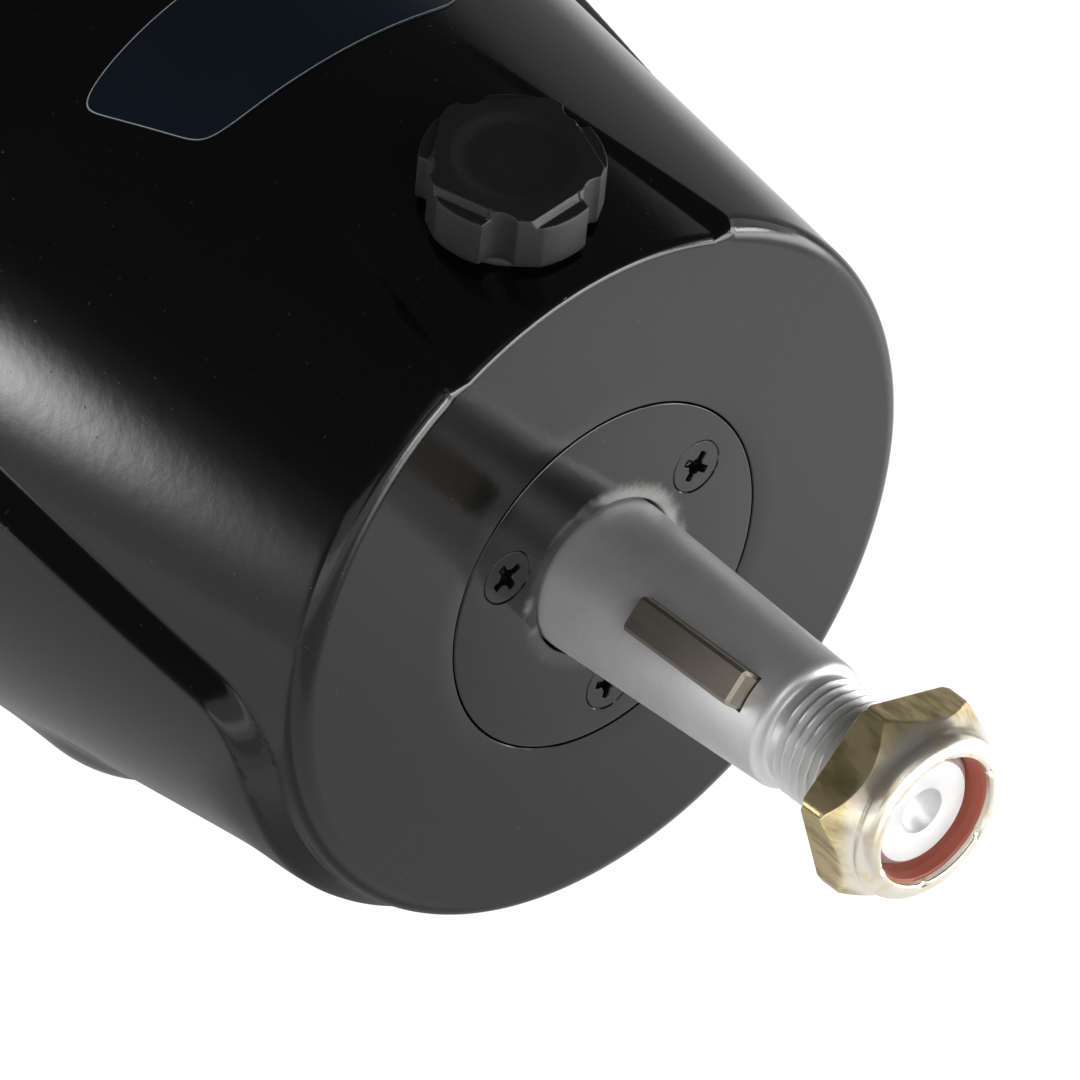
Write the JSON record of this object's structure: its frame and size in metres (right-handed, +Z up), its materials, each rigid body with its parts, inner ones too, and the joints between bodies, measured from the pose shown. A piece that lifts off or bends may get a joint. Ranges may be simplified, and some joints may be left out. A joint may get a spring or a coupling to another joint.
{
  "type": "boat steering helm",
  "caption": "Front-mount hydraulic helm pump: black conical body on a round dash flange, lobed filler cap, tapered keyed shaft with a lock nut, and steering hose ports behind.",
  "frame": {"origin": "on the shaft axis, in the plane where the flange gasket meets the dash", "axes": "+Y away from the steering wheel, through the dash; +Z up, where the filler cap is; +X to the right seen from the wheel"},
  "size_m": [0.145, 0.2316, 0.145],
  "materials": {
    "painted_black": "gloss paint",
    "cover_black": "gloss paint",
    "screw_black": "dark coated",
    "black_plastic": "satin moulded",
    "shaft_steel": "satin turned",
    "key_steel": "plain rolled",
    "zinc_yellow": "yellow zinc plated",
    "nylon_ring": "moulded",
    "black_rubber": "moulded",
    "label_film": "printed film",
    "bearing_steel": "ground",
    "bronze": "machined",
    "machined_aluminium": "machined",
    "pump_steel": "ground",
    "zinc_steel": "bright zinc plated",
    "brass_fitting": "turned"
  },
  "bodies": {
    "helm_body": {"front_housing": "painted_black", "seal_cover": "cover_black", "cover_screws": "screw_black", "cover_o_ring": "black_rubber", "shaft_seal": "black_rubber", "bearing_outer_race": "bearing_steel", "bearing_circlip": "key_steel", "label_plate": "label_film", "swash_plate": "pump_steel", "thrust_race_fixed": "bearing_steel", "port_plate": "bronze", "rear_bush": "bronze", "valve_block": "machined_aluminium", "block_o_ring": "black_rubber", "block_bolts": "zinc_steel", "poppet_spring_left": "pump_steel", "poppet_spring_right": "pump_steel", "valve_plugs": "zinc_steel", "port_fittings": "brass_fitting", "spare_port_plug": "zinc_steel", "flange_gasket": "black_rubber", "mounting_studs": "zinc_steel"},
    "shaft": {"shaft": "shaft_steel", "shaft_key": "key_steel", "bearing_inner_race": "bearing_steel", "rotor": "pump_steel", "pistons": "pump_steel", "piston_springs": "pump_steel"},
    "bearing_cage": {"bearing_balls": "bearing_steel", "bearing_cage": "bronze"},
    "thrust_race": {"thrust_race_turning": "bearing_steel"},
    "thrust_cage": {"thrust_balls": "bearing_steel", "thrust_cage": "bronze"},
    "cap_ring": {"cap_o_ring": "black_rubber"},
    "filler_cap": {"filler_cap": "black_plastic"},
    "nut_ring": {"nut_insert": "nylon_ring"},
    "wheel_nut": {"wheel_nut": "zinc_yellow"},
    "lock_spool": {"lock_spool": "pump_steel"},
    "check_poppet_left": {"check_poppet_left": "pump_steel"},
    "check_poppet_right": {"check_poppet_right": "pump_steel"}
  },
  "joints": [
    {"name": "shaft_turn", "type": "hinge", "parent": "helm_body", "child": "shaft", "pos_m": [0, -0.104, 0], "axis": [0, -1, 0], "continuous": true},
    {"name": "bearing_cage_turn", "type": "hinge", "parent": "helm_body", "child": "bearing_cage", "pos_m": [0, -0.0845, 0], "axis": [0, -1, 0], "continuous": true},
    {"name": "thrust_race_turn", "type": "hinge", "parent": "helm_body", "child": "thrust_race", "pos_m": [0, -0.0445, 0], "axis": [0, -0.9563, -0.2924], "continuous": true},
    {"name": "thrust_cage_turn", "type": "hinge", "parent": "helm_body", "child": "thrust_cage", "pos_m": [0, -0.0445, 0], "axis": [0, -0.9563, -0.2924], "continuous": true},
    {"name": "filler_cap_lift", "type": "slide", "parent": "helm_body", "child": "cap_ring", "axis": [0, -0.1599, 0.9871], "range_m": [0, 0.0098]},
    {"name": "filler_cap_turn", "type": "hinge", "parent": "cap_ring", "child": "filler_cap", "pos_m": [0, -0.089, 0.04853], "axis": [0, -0.1599, 0.9871], "range_deg": [0, 2340]},
    {"name": "wheel_nut_travel", "type": "slide", "parent": "shaft", "child": "nut_ring", "axis": [0, -1, 0], "range_m": [-0.0099, 0.0085]},
    {"name": "wheel_nut_turn", "type": "hinge", "parent": "nut_ring", "child": "wheel_nut", "pos_m": [0, -0.154, 0], "axis": [0, -1, 0], "range_deg": [-2520, 2160]},
    {"name": "lock_spool_slide", "type": "slide", "parent": "helm_body", "child": "lock_spool", "axis": [1, 0, 0], "range_m": [-0.0015, 0.0015]},
    {"name": "check_poppet_left_lift", "type": "slide", "parent": "helm_body", "child": "check_poppet_left", "axis": [-1, 0, 0], "range_m": [0, 0.0015], "stiffness_N_per_m": 500, "springref_m": -0.002, "deforming": ["poppet_spring_left"]},
    {"name": "check_poppet_right_lift", "type": "slide", "parent": "helm_body", "child": "check_poppet_right", "axis": [1, 0, 0], "range_m": [0, 0.0015], "stiffness_N_per_m": 500, "springref_m": -0.002, "deforming": ["poppet_spring_right"]}
  ],
  "couplings": [
    {"joint": "bearing_cage_turn", "follows": "shaft_turn", "ratio": 0.39758},
    {"joint": "thrust_race_turn", "follows": "shaft_turn", "ratio": 1},
    {"joint": "thrust_cage_turn", "follows": "shaft_turn", "ratio": 0.5},
    {"joint": "filler_cap_lift", "follows": "filler_cap_turn", "m_per_rad": 0.00023873},
    {"joint": "wheel_nut_travel", "follows": "wheel_nut_turn", "m_per_rad": 0.00022457}
  ]
}
